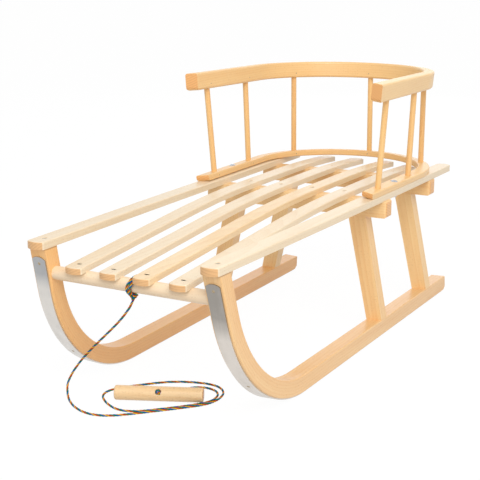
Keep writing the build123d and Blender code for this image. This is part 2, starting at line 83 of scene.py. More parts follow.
class Sketch:
    """One material and short ways of adding nodes to it."""

    def __init__(self, name: str) -> None:
        """Start an empty material with its output node.

        Args:
            name: Name of the material.
        """
        self.material = bpy.data.materials.new(name)
        self.material.use_nodes = True
        self.tree = self.material.node_tree
        self.tree.nodes.clear()
        self.output = self.add("ShaderNodeOutputMaterial")

    def feed(self, socket: Socket, value: Feed) -> None:
        """Link a socket to another one, or set it to a plain value.

        Args:
            socket: Input to feed.
            value: Output socket, number, vector or colour.
        """
        if isinstance(value, bpy.types.NodeSocket):
            self.tree.links.new(value, socket)
        elif socket.type == "RGBA":
            socket.default_value = (*value, 1.0)
        else:
            socket.default_value = value

    def add(
        self, kind: str, feeds: dict[str | int, Feed] | None = None, **settings: object
    ) -> bpy.types.Node:
        """Add one node.

        Args:
            kind: Blender's name of the node type.
            feeds: Values or sockets for its inputs, by name or number.
            settings: Properties of the node itself.

        Returns:
            The new node.
        """
        node = self.tree.nodes.new(kind)
        for name, value in settings.items():
            setattr(node, name, value)
        for key, value in (feeds or {}).items():
            self.feed(node.inputs[key], value)
        return node

    def math(self, operation: str, first: Feed, second: Feed = 0.0, third: Feed = 0.0) -> Socket:
        """Combine numbers.

        Args:
            operation: Blender's name of the operation.
            first: First operand.
            second: Second operand, where the operation has one.
            third: Third operand, where the operation has one.

        Returns:
            The result.
        """
        node = self.add("ShaderNodeMath", {0: first, 1: second, 2: third}, operation=operation)
        return node.outputs[0]

    def remap(self, value: Feed, source: tuple[float, float], target: tuple[float, float]) -> Socket:
        """Map a number from one range to another, held at the ends.

        Args:
            value: Number to map.
            source: Range it comes in.
            target: Range it goes to.

        Returns:
            The mapped number.
        """
        feeds = {0: value, 1: source[0], 2: source[1], 3: target[0], 4: target[1]}
        return self.add("ShaderNodeMapRange", feeds, clamp=True).outputs[0]

    def join(self, x: Feed, y: Feed, z: Feed) -> Socket:
        """Join three numbers to a vector."""
        return self.add("ShaderNodeCombineXYZ", {0: x, 1: y, 2: z}).outputs[0]

    def split(self, vector: Socket) -> list[Socket]:
        """Split a vector into its three numbers."""
        return list(self.add("ShaderNodeSeparateXYZ", {0: vector}).outputs)

    def scaled(self, vector: Socket, scale: Point) -> Socket:
        """Stretch a vector along its own axes."""
        return self.add("ShaderNodeVectorMath", {0: vector, 1: scale}, operation="MULTIPLY").outputs[0]

    def noise(self, vector: Socket, scale: float, detail: float = 2.0, roughness: float = 0.5) -> Socket:
        """Add cloudy noise.

        Args:
            vector: Place to read it at.
            scale: Cells for each unit of the vector.
            detail: Number of finer layers.
            roughness: Strength of the finer layers.

        Returns:
            A number around one half.
        """
        feeds = {"Vector": vector, "Scale": scale, "Detail": detail, "Roughness": roughness}
        return self.add("ShaderNodeTexNoise", feeds).outputs["Fac"]

    def mix(self, factor: Feed, first: Feed, second: Feed) -> Socket:
        """Mix two colours.

        Args:
            factor: Share of the second colour.
            first: Colour at nought.
            second: Colour at one.

        Returns:
            The mixed colour.
        """
        node = self.add("ShaderNodeMix", {0: factor, 6: first, 7: second}, data_type="RGBA")
        return node.outputs[2]

    def bump(self, height: Socket, distance: float, strength: float = 1.0) -> Socket:
        """Turn a height into a bent normal.

        Args:
            height: Height from nought to one.
            distance: Depth of the relief in metres.
            strength: Share of the relief that shows.

        Returns:
            The bent normal.
        """
        feeds = {"Strength": strength, "Distance": distance, "Height": height}
        return self.add("ShaderNodeBump", feeds).outputs[0]

    def surface(self, feeds: dict[str, Feed]) -> bpy.types.Material:
        """Finish the material with one surface shader.

        Args:
            feeds: Inputs of the surface shader by name.

        Returns:
            The finished material.
        """
        shader = self.add("ShaderNodeBsdfPrincipled", feeds)
        self.tree.links.new(shader.outputs[0], self.output.inputs["Surface"])
        return self.material


@dataclass(frozen=True)
class BentGrain:
    """Grain that follows a bend between two straight stretches.

    The bend lies in the plane of two axes. The turn is measured from the second axis towards the first.
    """

    centre: tuple[float, float]
    axes: tuple[int, int]
    signs: tuple[float, float]
    radius: float
    turns: tuple[float, float]

    def follow(self, sketch: Sketch, place: Socket, normal: Socket) -> tuple[Socket, Socket]:
        """Unroll the bend.

        Args:
            sketch: Material to add the nodes to.
            place: Place on the piece.
            normal: Normal there.

        Returns:
            The place measured along the fibres and across them, and how far the face looks along them.
        """
        parts = sketch.split(place)
        looks = sketch.split(normal)
        out, up = self.axes
        side = 3 - out - up
        first = sketch.math("MULTIPLY", sketch.math("SUBTRACT", parts[out], self.centre[0]), self.signs[0])
        second = sketch.math("MULTIPLY", sketch.math("SUBTRACT", parts[up], self.centre[1]), self.signs[1])
        low, high = (math.radians(turn) for turn in self.turns)
        turn = sketch.math("ARCTAN2", first, second)
        turn = sketch.math("MINIMUM", sketch.math("MAXIMUM", turn, low), high)
        sine = sketch.math("SINE", turn)
        cosine = sketch.math("COSINE", turn)
        past_end = sketch.math(
            "SUBTRACT", sketch.math("MULTIPLY", first, cosine), sketch.math("MULTIPLY", second, sine)
        )
        along = sketch.math("MULTIPLY_ADD", turn, self.radius, past_end)
        across = sketch.math(
            "ADD", sketch.math("MULTIPLY", first, sine), sketch.math("MULTIPLY", second, cosine)
        )
        ahead = sketch.math(
            "SUBTRACT",
            sketch.math("MULTIPLY", sketch.math("MULTIPLY", looks[out], self.signs[0]), cosine),
            sketch.math("MULTIPLY", sketch.math("MULTIPLY", looks[up], self.signs[1]), sine),
        )
        return sketch.join(along, across, parts[side]), sketch.math("ABSOLUTE", ahead)


@dataclass(frozen=True)
class StraightGrain:
    """Grain along one direction, given as the turns that bring it to X."""

    turns: Point

    def follow(self, sketch: Sketch, place: Socket, normal: Socket) -> tuple[Socket, Socket]:
        """Turn the piece so that its fibres run along X.

        Args:
            sketch: Material to add the nodes to.
            place: Place on the piece.
            normal: Normal there.

        Returns:
            The place measured along the fibres and across them, and how far the face looks along them.
        """
        angles = tuple(math.radians(turn) for turn in self.turns)
        turned = []
        for vector in (place, normal):
            feeds = {"Vector": vector, "Rotation": angles}
            node = sketch.add("ShaderNodeVectorRotate", feeds, rotation_type="EULER_XYZ")
            turned.append(node.outputs[0])
        ahead = sketch.split(turned[1])[0]
        return turned[0], sketch.math("ABSOLUTE", ahead)


def rail_grain(centre: float, radius: float, turn: float) -> BentGrain:
    """Give the grain of a rail bent round the back, alike on both sides."""
    return BentGrain((0.0, centre), (0, 1), (1.0, 1.0), radius, (-turn, turn))


# Bends in metres and degrees, and the lean of the legs and the handle
RUNNER_CENTRE = (-0.2200, 0.237)
RUNNER_RADIUS = 0.235
RUNNER_TURN = 75.5
LOWER_RAIL_CENTRE = 0.278
LOWER_RAIL_RADIUS = 0.170
LOWER_RAIL_TURN = 88.8
UPPER_RAIL_CENTRE = 0.268
UPPER_RAIL_RADIUS = 0.1755
UPPER_RAIL_TURN = 91.34
LEG_SPLAY = 11.9
HANDLE_TURN = 23.8

GRAINS: dict[Grain, BentGrain | StraightGrain] = {
    Grain.LENGTHWISE: StraightGrain((0.0, 0.0, -90.0)),
    Grain.CROSSWISE: StraightGrain((0.0, 0.0, 0.0)),
    Grain.UPRIGHT: StraightGrain((0.0, 90.0, 0.0)),
    Grain.LEG_LEFT: StraightGrain((0.0, 90.0 - LEG_SPLAY, 0.0)),
    Grain.LEG_RIGHT: StraightGrain((0.0, 90.0 + LEG_SPLAY, 0.0)),
    Grain.HANDLE: StraightGrain((0.0, 0.0, -HANDLE_TURN)),
    Grain.RUNNER_BEND: BentGrain(RUNNER_CENTRE, (1, 2), (-1.0, -1.0), RUNNER_RADIUS, (0.0, RUNNER_TURN)),
    Grain.LOWER_RAIL_BEND: rail_grain(LOWER_RAIL_CENTRE, LOWER_RAIL_RADIUS, LOWER_RAIL_TURN),
    Grain.UPPER_RAIL_BEND: rail_grain(UPPER_RAIL_CENTRE, UPPER_RAIL_RADIUS, UPPER_RAIL_TURN),
}


# Cells of the beech's figure for each metre along the fibres, and for each metre both ways across them
WANDER_CELLS = (2.2, 14.0, 14.0)
CLOUD_CELLS = (1.6, 9.0, 9.0)
STREAK_CELLS = (3.0, 95.0, 95.0)
FIBRE_CELLS = (45.0, 1500.0, 1500.0)
FLECK_CELLS = (190.0, 900.0, 900.0)
PORE_CELLS = (400.0, 900.0, 900.0)
# How far apart two pieces may be cut from the tree, in metres
CUT_SPREAD = (7.0, 0.11, 0.13)


@dataclass(frozen=True)
class BeechFinish:
    """Beech under a satin clear lacquer: pale wood with soft rings, fine fibres and short dark flecks.

    The depths say how much each part of the figure darkens the wood. The seam is the height of a joint,
    with a thin band of painted contact shade under it; at one metre it is above the sled and doesn't show.
    """

    name: str
    light: Colour
    dark: Colour
    end_grain: Colour
    fleck_and_shade: Colour = (0.42, 0.20, 0.07)
    fleck_share: float = 0.35
    fleck_edge: tuple[float, float] = (0.16, 0.34)
    fleck_depth: float = 0.34
    ring_width: float = 0.0042
    ring_wander: float = 3.4
    ring_sharpness: float = 2.2
    ring_depth: float = 0.34
    streak_depth: float = 0.45
    cloud_depth: float = 0.3
    fibre_depth: float = 0.34
    piece_depth: float = 0.36
    pore_depth: float = 0.45
    end_slant: tuple[float, float] = (0.66, 0.84)
    seam: float = 1.0
    seam_width: float = 0.0026
    seam_shade_depth: float = 0.85
    relief: float = 0.00006
    roughness: float = 0.42
    lacquer: float = 0.3
    lacquer_roughness: float = 0.25

    def rings(self, sketch: Sketch, place: Socket) -> Socket:
        """Draw the year rings, which wander along the piece.

        Args:
            sketch: Material to add the nodes to.
            place: Place along the fibres and across them.

        Returns:
            Nought to one through each ring.
        """
        _, across, through = sketch.split(place)
        wander = sketch.noise(sketch.scaled(place, WANDER_CELLS), 1.0)
        square = sketch.math("ADD", sketch.math("POWER", across, 2.0), sketch.math("POWER", through, 2.0))
        count = sketch.math("DIVIDE", sketch.math("SQRT", square), self.ring_width)
        count = sketch.math("MULTIPLY_ADD", wander, self.ring_wander, count)
        return sketch.math("POWER", sketch.math("FRACT", count), self.ring_sharpness)

    def flecks(self, sketch: Sketch, place: Socket) -> Socket:
        """Scatter short dashes along the fibres.

        Args:
            sketch: Material to add the nodes to.
            place: Place along the fibres and across them.

        Returns:
            One on a dash, else nought.
        """
        feeds = {"Vector": sketch.scaled(place, FLECK_CELLS), "Scale": 1.0}
        cells = sketch.add("ShaderNodeTexVoronoi", feeds)
        wanted = sketch.math("LESS_THAN", sketch.split(cells.outputs["Color"])[0], self.fleck_share)
        dash = sketch.remap(cells.outputs["Distance"], self.fleck_edge, (1.0, 0.0))
        return sketch.math("MULTIPLY", dash, wanted)

    def darkness(self, sketch: Sketch, place: Socket, ring: Socket, fibre: Socket, chance: Socket) -> Socket:
        """Add up what darkens the wood.

        Args:
            sketch: Material to add the nodes to.
            place: Place along the fibres and across them.
            ring: Place within a year ring.
            fibre: Fine noise along the fibres.
            chance: A number of the piece's own.

        Returns:
            Share of the dark wood.
        """
        streak = sketch.noise(sketch.scaled(place, STREAK_CELLS), 1.0, 3.0, 0.6)
        cloud = sketch.noise(sketch.scaled(place, CLOUD_CELLS), 1.0, 1.0)
        total = sketch.remap(streak, (0.3, 0.75), (0.0, self.streak_depth))
        total = sketch.math("MULTIPLY_ADD", ring, self.ring_depth, total)
        cloud = sketch.remap(cloud, (0.3, 0.7), (-0.5, 0.5))
        total = sketch.math("MULTIPLY_ADD", cloud, self.cloud_depth, total)
        total = sketch.math("MULTIPLY_ADD", sketch.math("SUBTRACT", fibre, 0.5), self.fibre_depth, total)
        total = sketch.math("MULTIPLY_ADD", sketch.math("SUBTRACT", chance, 0.5), self.piece_depth, total)
        return sketch.remap(total, (0.0, 1.0), (0.0, 1.0))

    def material(self, grain: Grain) -> bpy.types.Material:
        """Make this beech with its fibres running one way.

        Args:
            grain: The way the fibres run.

        Returns:
            The material.
        """
        sketch = Sketch(f"{self.name}_{grain.value}")
        spot = sketch.add("ShaderNodeTexCoord").outputs
        place, ahead = GRAINS[grain].follow(sketch, spot["Object"], spot["Normal"])
        chance = sketch.add("ShaderNodeObjectInfo").outputs["Random"]
        throw = sketch.add("ShaderNodeTexWhiteNoise", {"W": chance}, noise_dimensions="1D").outputs["Color"]
        shift = sketch.scaled(throw, CUT_SPREAD)
        place = sketch.add("ShaderNodeVectorMath", {0: place, 1: shift}, operation="ADD").outputs[0]

        ring = self.rings(sketch, place)
        dash = self.flecks(sketch, place)
        fibre = sketch.noise(sketch.scaled(place, FIBRE_CELLS), 1.0, 2.0, 0.6)
        wood = sketch.mix(self.darkness(sketch, place, ring, fibre, chance), self.light, self.dark)
        wood = sketch.mix(sketch.math("MULTIPLY", dash, self.fleck_depth), wood, self.fleck_and_shade)

        pores = sketch.noise(sketch.scaled(place, PORE_CELLS), 1.0, 2.0, 0.7)
        sawn = sketch.math("MULTIPLY_ADD", pores, 0.5, sketch.math("MULTIPLY", ring, 0.5))
        ends = sketch.mix(sketch.remap(sawn, (0.2, 0.8), (0.0, self.pore_depth)), self.end_grain, self.fleck_and_shade)
        colour = sketch.mix(sketch.remap(ahead, self.end_slant, (0.0, 1.0)), wood, ends)
        # Painted contact shade: the wood darkens over the last few millimetres below the seam, where the
        # slats sit on the runners
        line = (self.seam - self.seam_width, self.seam - 0.3 * self.seam_width)
        seam_shade = sketch.remap(sketch.split(spot["Object"])[2], line, (0.0, self.seam_shade_depth))
        colour = sketch.mix(seam_shade, colour, self.fleck_and_shade)

        height = sketch.math("MULTIPLY_ADD", dash, -0.5, fibre)
        gloss = sketch.remap(fibre, (0.3, 0.7), (self.roughness - 0.06, self.roughness + 0.08))
        return sketch.surface({
            "Base Color": colour,
            "Roughness": gloss,
            "Normal": sketch.bump(height, self.relief, 0.5),
            "Coat Weight": self.lacquer,
            "Coat Roughness": self.lacquer_roughness,
        })


# Cells of the steel's lines and smears for each metre along X, Y and Z
LINE_CELLS = (1400.0, 30.0, 30.0)
SMEAR_CELLS = (60.0, 25.0, 25.0)


@dataclass(frozen=True)
class SteelFinish:
    """Rolled steel with fine lines along its length, and a painted reflection: brighter towards the sole,
    duller higher up.
    """

    name: str
    bright: Colour
    dull: Colour
    reflection_bright_height: float
    reflection_dull_height: float
    smear_share: float = 0.5
    line_share: float = 0.25
    relief: float = 0.00004
    roughness: float = 0.4

    def material(self) -> bpy.types.Material:
        """Make the steel.

        Returns:
            The material.
        """
        sketch = Sketch(self.name)
        place = sketch.add("ShaderNodeTexCoord").outputs["Object"]
        height = sketch.split(place)[2]
        lines = sketch.noise(sketch.scaled(place, LINE_CELLS), 1.0, 2.0, 0.6)
        smear = sketch.noise(sketch.scaled(place, SMEAR_CELLS), 1.0, 3.0, 0.6)
        # Painted reflection: bright low on the strip, dull higher up; the smears and lines mixed in are the
        # steel's own
        reflection_and_smear = sketch.remap(height, (self.reflection_bright_height, self.reflection_dull_height), (0.0, 1.0))
        reflection_and_smear = sketch.math("MULTIPLY_ADD", sketch.math("SUBTRACT", smear, 0.5), self.smear_share, reflection_and_smear)
        reflection_and_smear = sketch.math("MULTIPLY_ADD", sketch.math("SUBTRACT", lines, 0.5), self.line_share, reflection_and_smear)
        colour = sketch.mix(sketch.remap(reflection_and_smear, (0.0, 1.0), (0.0, 1.0)), self.bright, self.dull)
        gloss = sketch.remap(smear, (0.3, 0.7), (self.roughness - 0.08, self.roughness + 0.1))
        return sketch.surface({
            "Base Color": colour,
            "Metallic": 1.0,
            "Roughness": gloss,
            "Normal": sketch.bump(lines, self.relief, 0.5),
        })


@dataclass(frozen=True)
class ZincFinish:
    """Zinc plate on screws, nails and bolts, faintly mottled."""

    name: str
    colour: Colour
    shadow: Colour
    roughness: float = 0.3
    mottles: float = 900.0

    def material(self) -> bpy.types.Material:
        """Make the zinc plate.

        Returns:
            The material.
        """
        sketch = Sketch(self.name)
        place = sketch.add("ShaderNodeTexCoord").outputs["Object"]
        mottle = sketch.noise(place, self.mottles, 3.0, 0.6)
        colour = sketch.mix(sketch.remap(mottle, (0.35, 0.7), (0.0, 1.0)), self.colour, self.shadow)
        gloss = sketch.remap(mottle, (0.3, 0.7), (self.roughness - 0.05, self.roughness + 0.12))
        return sketch.surface({"Base Color": colour, "Metallic": 1.0, "Roughness": gloss})


@dataclass(frozen=True)
class YarnFinish:
    """Dyed yarn, matt and faintly fuzzy."""

    name: str
    colour: Colour
    roughness: float = 0.85
    sheen: float = 0.1
    fibres: float = 2600.0
    shade: float = 0.3
    relief: float = 0.0002

    def material(self) -> bpy.types.Material:
        """Make the yarn.

        Returns:
            The material.
        """
        sketch = Sketch(self.name)
        fuzz = sketch.noise(sketch.add("ShaderNodeTexCoord").outputs["Object"], self.fibres, 3.0, 0.7)
        shade = tuple(self.shade * part for part in self.colour)
        colour = sketch.mix(sketch.remap(fuzz, (0.45, 0.8), (0.0, 0.8)), self.colour, shade)
        return sketch.surface({
            "Base Color": colour,
            "Roughness": self.roughness,
            "Specular IOR Level": self.sheen,
            "Normal": sketch.bump(fuzz, self.relief, 0.6),
        })


SLAT_END = (0.77, 0.45, 0.20)
FRAME_END = (0.86, 0.44, 0.155)
SLAT_BEECH = BeechFinish("slat_beech", (0.86, 0.73, 0.53), (0.79, 0.59, 0.37), SLAT_END)
WARM_SLAT_BEECH = BeechFinish("warm_slat_beech", (0.87, 0.68, 0.42), (0.80, 0.51, 0.25), SLAT_END)
BAR_BEECH = BeechFinish("bar_beech", (0.88, 0.71, 0.50), (0.83, 0.59, 0.37), SLAT_END)
FRAME_BEECH = BeechFinish("frame_beech", (0.93, 0.645, 0.315), (0.82, 0.46, 0.18), (0.88, 0.47, 0.175))
RAIL_BEECH = BeechFinish("rail_beech", (0.91, 0.605, 0.27), (0.80, 0.43, 0.155), FRAME_END)
SPINDLE_BEECH = BeechFinish("spindle_beech", (0.90, 0.57, 0.235), (0.79, 0.40, 0.135), FRAME_END)
# Height of the outer slats' undersides on the runners, in metres, under which the runners get a thin painted
# contact shade
SLAT_UNDER = 0.25
RUNNER_BEECHES = {
    # The left runner is more orange than the right: partly its own tone, partly painted warm shade from
    # under the seat
    Side.LEFT: BeechFinish(
        "left_runner_beech", (0.94, 0.56, 0.225), (0.85, 0.41, 0.135), (0.80, 0.40, 0.14), seam=SLAT_UNDER
    ),
    Side.RIGHT: BeechFinish(
        "right_runner_beech", (0.90, 0.605, 0.295), (0.79, 0.43, 0.17), FRAME_END, seam=SLAT_UNDER
    ),
}
HANDLE_BEECH = BeechFinish(
    "handle_beech", (0.91, 0.65, 0.36), (0.81, 0.48, 0.21), (0.72, 0.36, 0.13), fleck_share=0.6
)
# Each strip has its own painted reflection, bright near the sole and dull higher up
STRIP_STEELS = {
    Side.LEFT: SteelFinish("strip_steel_left", (0.74, 0.71, 0.67), (0.45, 0.455, 0.46), 0.184, 0.210),
    Side.RIGHT: SteelFinish("strip_steel_right", (0.73, 0.68, 0.625), (0.36, 0.335, 0.305), 0.148, 0.184),
}
BOLT_ZINC = ZincFinish("bolt_zinc", (0.66, 0.71, 0.78), (0.36, 0.39, 0.44), 0.2)
SCREW_ZINC = ZincFinish("screw_zinc", (0.62, 0.56, 0.46), (0.38, 0.33, 0.25))
NAIL_STEEL = ZincFinish("nail_steel", (0.58, 0.47, 0.32), (0.26, 0.20, 0.13), 0.45)
YARNS = (
    YarnFinish("yarn_red", (0.60, 0.008, 0.035)),
    YarnFinish("yarn_yellow", (0.82, 0.54, 0.01)),
    YarnFinish("yarn_blue", (0.02, 0.09, 0.50)),
    YarnFinish("yarn_green", (0.008, 0.27, 0.07)),
)


@dataclass
class Shell:
    """Faces gathered from several bodies before they become one piece."""

    points: list[Vector] = field(default_factory=list)
    faces: list[tuple[int, ...]] = field(default_factory=list)
    slots: list[int] = field(default_factory=list)
    tip_share: float = 0.6

    def turned(self, profile: Sequence[tuple[float, float]], place: Matrix, sides: int) -> None:
        """Add a body turned about its own Z axis.

        Args:
            profile: Radius and height from the foot to the tip; a radius of nought closes the end.
            place: Where the body goes.
            sides: Number of faces round it.
        """
        rings: list[list[int]] = []
        for radius, height in profile:
            steps = sides if radius > 0 else 1
            ring = []
            for step in range(steps):
                angle = 2 * math.pi * step / steps
                ring.append(len(self.points))
                spot = Vector((radius * math.cos(angle), radius * math.sin(angle), height))
                self.points.append(place @ spot)
            rings.append(ring)
        for low, high in zip(rings, rings[1:]):
            self.band(low, high)

    def band(self, low: list[int], high: list[int], slot: int = 0) -> None:
        """Join two rings of points, either of which may be a single point.

        Args:
            low: First ring.
            high: Next ring.
            slot: Material slot of the new faces.
        """
        count = max(len(low), len(high))
        for step in range(count):
            after = (step + 1) % count
            if len(low) == 1:
                corners = (low[0], high[after], high[step])
            elif len(high) == 1:
                corners = (low[step], low[after], high[0])
            else:
                corners = (low[step], low[after], high[after], high[step])
            self.faces.append(corners)
            self.slots.append(slot)

    def tube(self, line: Sequence[Vector], radius: float, sides: int, slot: int = 0) -> None:
        """Add a closed tube along a line, with rounded ends.

        Args:
            line: Points that the tube follows.
            radius: Half its thickness.
            sides: Number of faces round it.
            slot: Material slot of its faces.
        """
        ways = directions(line)
        normal = ways[0].orthogonal().normalized()
        rings: list[list[int]] = []
        for point, way in zip(line, ways):
            normal = (normal - way * normal.dot(way)).normalized()
            side = way.cross(normal)
            ring = []
            for step in range(sides):
                angle = 2 * math.pi * step / sides
                ring.append(len(self.points))
                self.points.append(point + radius * (math.cos(angle) * normal + math.sin(angle) * side))
            rings.append(ring)
        for end, ring, way in ((0, rings[0], -ways[0]), (-1, rings[-1], ways[-1])):
            tip = [len(self.points)]
            self.points.append(line[end] + way * self.tip_share * radius)
            if end:
                rings.append(tip)
            else:
                rings.insert(0, tip)
        for low, high in zip(rings, rings[1:]):
            self.band(low, high, slot)

    def piece(self, name: str, finishes: Sequence[bpy.types.Material], slot: str) -> bpy.types.Object:
        """Turn the faces into one piece that rides with the sled.

        Args:
            name: Name of the piece.
            finishes: Materials of its slots.
            slot: The record's material slot; not used.

        Returns:
            The piece.
        """
        mesh = bpy.data.meshes.new(name)
        mesh.from_pydata(self.points, [], self.faces)
        for material in finishes:
            mesh.materials.append(material)
        mesh.polygons.foreach_set("material_index", self.slots)
        mesh.polygons.foreach_set("use_smooth", [True] * len(self.faces))
        tidy = bmesh.new()
        tidy.from_mesh(mesh)
        bmesh.ops.recalc_face_normals(tidy, faces=tidy.faces)
        tidy.to_mesh(mesh)
        tidy.free()
        piece = bpy.data.objects.new(name, mesh)
        bpy.context.scene.collection.objects.link(piece)
        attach(piece, BODY)
        LOG.info("%s: %d faces", name, len(mesh.polygons))
        return piece


def directions(line: Sequence[Vector]) -> list[Vector]:
    """Find the way that a line runs at each of its points.

    Args:
        line: Points of the line.

    Returns:
        One unit vector for each point.
    """
    last = len(line) - 1
    return [(line[min(i + 1, last)] - line[max(i - 1, 0)]).normalized() for i in range(last + 1)]


def dress(nodes: Iterable[str], material: bpy.types.Material) -> None:
    """Give one material to several solids.

    Args:
        nodes: Names of the solids.
        material: Their new material.
    """
    for node in nodes:
        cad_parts[node].data.materials[0] = material
        LOG.info("%s: %s", node, material.name)


def facing(point: Vector, way: Vector) -> Matrix:
    """Place something at a point with its Z axis along a way."""
    return Matrix.Translation(point) @ way.to_track_quat("Z", "Y").to_matrix().to_4x4()


def domed_head(
    radius: float, foot: float, dome: float, shoulders: Iterable[tuple[float, float]]
) -> list[tuple[float, float]]:
    """Outline a domed head from its foot in the piece to its tip.

    Args:
        radius: Radius of the head.
        foot: How deep its foot reaches into the piece.
        dome: How far its tip stands out.
        shoulders: Shares of the radius and of the dome between the rim and the tip.

    Returns:
        Radius and height of each point.
    """
    middle = [(wide * radius, high * dome) for wide, high in shoulders]
    return [(radius, -foot), (radius, 0.0), *middle, (0.0, dome)]


@dataclass
class TimberFrame:
    """Runners, legs, crossbars and the round front bar."""

    ends: tuple[str, str] = ("front", "rear")

    def build(self) -> None:
        """Dress the frame's solids with beech."""
        for side in Side:
            dress([f"runner_{side.name.lower()}"], RUNNER_BEECHES[side].material(Grain.RUNNER_BEND))
        dress([f"leg_{end}_left" for end in self.ends], FRAME_BEECH.material(Grain.LEG_LEFT))
        dress([f"leg_{end}_right" for end in self.ends], FRAME_BEECH.material(Grain.LEG_RIGHT))
        dress([f"crossbar_{end}" for end in self.ends], FRAME_BEECH.material(Grain.CROSSWISE))
        dress(["front_bar"], BAR_BEECH.material(Grain.CROSSWISE))


@dataclass
class RunnerStrips:
    """Steel strips under the runners with the nails that hold them."""

    half_track: float = 0.1704
    rear: float = 0.425
    lift: float = 0.00054
    tilt: float = 2.69
    toe: float = 0.66
    outer_radius: float = 0.237
    nail_radius: float = 0.0024
    nail_dome: float = 0.00045
    nail_foot: float = 0.0004
    nail_shoulders: tuple[tuple[float, float], ...] = ((0.85, 0.6), (0.45, 0.92))
    nail_sides: int = 20
    upper_nail_rise: float = 0.0489
    bend_nail_turn: float = 41.5
    sole_nails: tuple[float, ...] = (-0.09, 0.14, 0.37)

    def placed(self, side: Side) -> Matrix:
        """Find how a runner leans in and toes in.

        Args:
            side: Which runner.

        Returns:
            The move from the upright middle plane to the runner's own place.
        """
        return (
            Matrix.Translation((side.value * self.half_track, self.rear, self.lift))
            @ Matrix.Rotation(-side.value * math.radians(self.toe), 4, "Z")
            @ Matrix.Rotation(-side.value * math.radians(self.tilt), 4, "Y")
            @ Matrix.Translation((0.0, -self.rear, 0.0))
        )

    def bend(self, turn: float) -> tuple[Vector, Vector]:
        """Find a point on the strip's outer face round the bend.

        Args:
            turn: Degrees from the floor.

        Returns:
            The point and the outward way there.
        """
        angle = math.radians(turn)
        way = Vector((0.0, -math.sin(angle), -math.cos(angle)))
        centre = Vector((0.0, *RUNNER_CENTRE))
        return centre + self.outer_radius * way, way

    def nails(self, side: Side) -> None:
        """Drive the nails of one strip.

        Args:
            side: Which runner.
        """
        end, lean = self.bend(RUNNER_TURN)
        up = Vector((0.0, lean.z, -lean.y))
        places = [(end + self.upper_nail_rise * up, lean), self.bend(self.bend_nail_turn)]
        places += [(Vector((0.0, y, 0.0)), Vector((0.0, 0.0, -1.0))) for y in self.sole_nails]
        profile = domed_head(self.nail_radius, self.nail_foot, self.nail_dome, self.nail_shoulders)
        shell = Shell()
        for point, way in places:
            shell.turned(profile, self.placed(side) @ facing(point, way), self.nail_sides)
        shell.piece(f"strip_nails_{side.name.lower()}", [NAIL_STEEL.material()], "strip_steel")

    def build(self) -> None:
        """Dress both strips and nail them on."""
        for side in Side:
            dress([f"runner_strip_{side.name.lower()}"], STRIP_STEELS[side].material())
            self.nails(side)


@dataclass
class SeatSlats:
    """Six seat slats with a sunk screw at every bar under them."""

    head_radius: float = 0.0039
    head_sink: float = 0.0007
    cross_arm: float = 0.0024
    cross_width: float = 0.0010
    cross_depth: float = 0.0010
    cross_rise: float = 0.6
    turn_by_slat: float = 37.0
    turn_by_screw: float = 53.0
    rings: int = 12
    sides: int = 48
    bars: tuple[str, ...] = ("front_bar", "crossbar_front", "crossbar_rear")
    recess_depth: float = 0.0028
    level: float = 0.9999
    margin: float = 0.012
    warm: str = "slat_inner_3"

    def recesses(self, node: str) -> list[Vector]:
        """Find the mouths of a slat's screw recesses by their flat floors.

        Args:
            node: Name of the slat.

        Returns:
            The middle of each mouth.
        """
        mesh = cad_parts[node].data
        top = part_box(node)[1].z
        found: list[Vector] = []
        for bar in self.bars:
            near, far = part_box(bar)
            floor = [
                mesh.vertices[corner].co
                for face in mesh.polygons
                if face.normal.z > self.level and face.center.z < top - 0.5 * self.recess_depth
                for corner in face.vertices
                if near.y - self.margin < face.center.y < far.y + self.margin
            ]
            if floor:
                middle = sum((Vector(point) for point in floor), Vector()) / len(floor)
                found.append(middle + Vector((0.0, 0.0, self.recess_depth)))
        return found

    def head(self, shell: Shell, mouth: Vector, turn: float) -> None:
        """Add one screw head with a cross recess.

        Args:
            shell: Faces to add to.
            mouth: Middle of the recess in the wood.
            turn: Degrees that the cross is turned.
        """
        place = Matrix.Translation(mouth) @ Matrix.Rotation(math.radians(turn), 4, "Z")
        rings: list[list[int]] = [[len(shell.points)]]
        shell.points.append(place @ Vector((0.0, 0.0, -self.head_sink - self.cross_depth)))
        for number in range(1, self.rings + 1):
            radius = self.head_radius * number / self.rings
            ring = []
            for step in range(self.sides):
                angle = 2 * math.pi * step / self.sides
                x, y = radius * math.cos(angle), radius * math.sin(angle)
                arm, width = max(abs(x), abs(y)), min(abs(x), abs(y))
                inside = arm < self.cross_arm and width < self.cross_width / 2
                depth = self.cross_depth * (1.0 - self.cross_rise * arm / self.cross_arm) if inside else 0.0
                ring.append(len(shell.points))
                shell.points.append(place @ Vector((x, y, -self.head_sink - depth)))
            rings.append(ring)
        for low, high in zip(rings, rings[1:]):
            shell.band(low, high)

    def build(self) -> None:
        """Dress the slats and set their screws."""
        nodes = [f"slat_inner_{number}" for number in range(1, 5)] + ["slat_outer_left", "slat_outer_right"]
        dress([node for node in nodes if node != self.warm], SLAT_BEECH.material(Grain.LENGTHWISE))
        dress([self.warm], WARM_SLAT_BEECH.material(Grain.LENGTHWISE))
        shell = Shell()
        for count, node in enumerate(nodes):
            for number, mouth in enumerate(self.recesses(node)):
                self.head(shell, mouth, self.turn_by_slat * count + self.turn_by_screw * number)
        shell.piece("slat_screws", [SCREW_ZINC.material()], "bolt_steel")


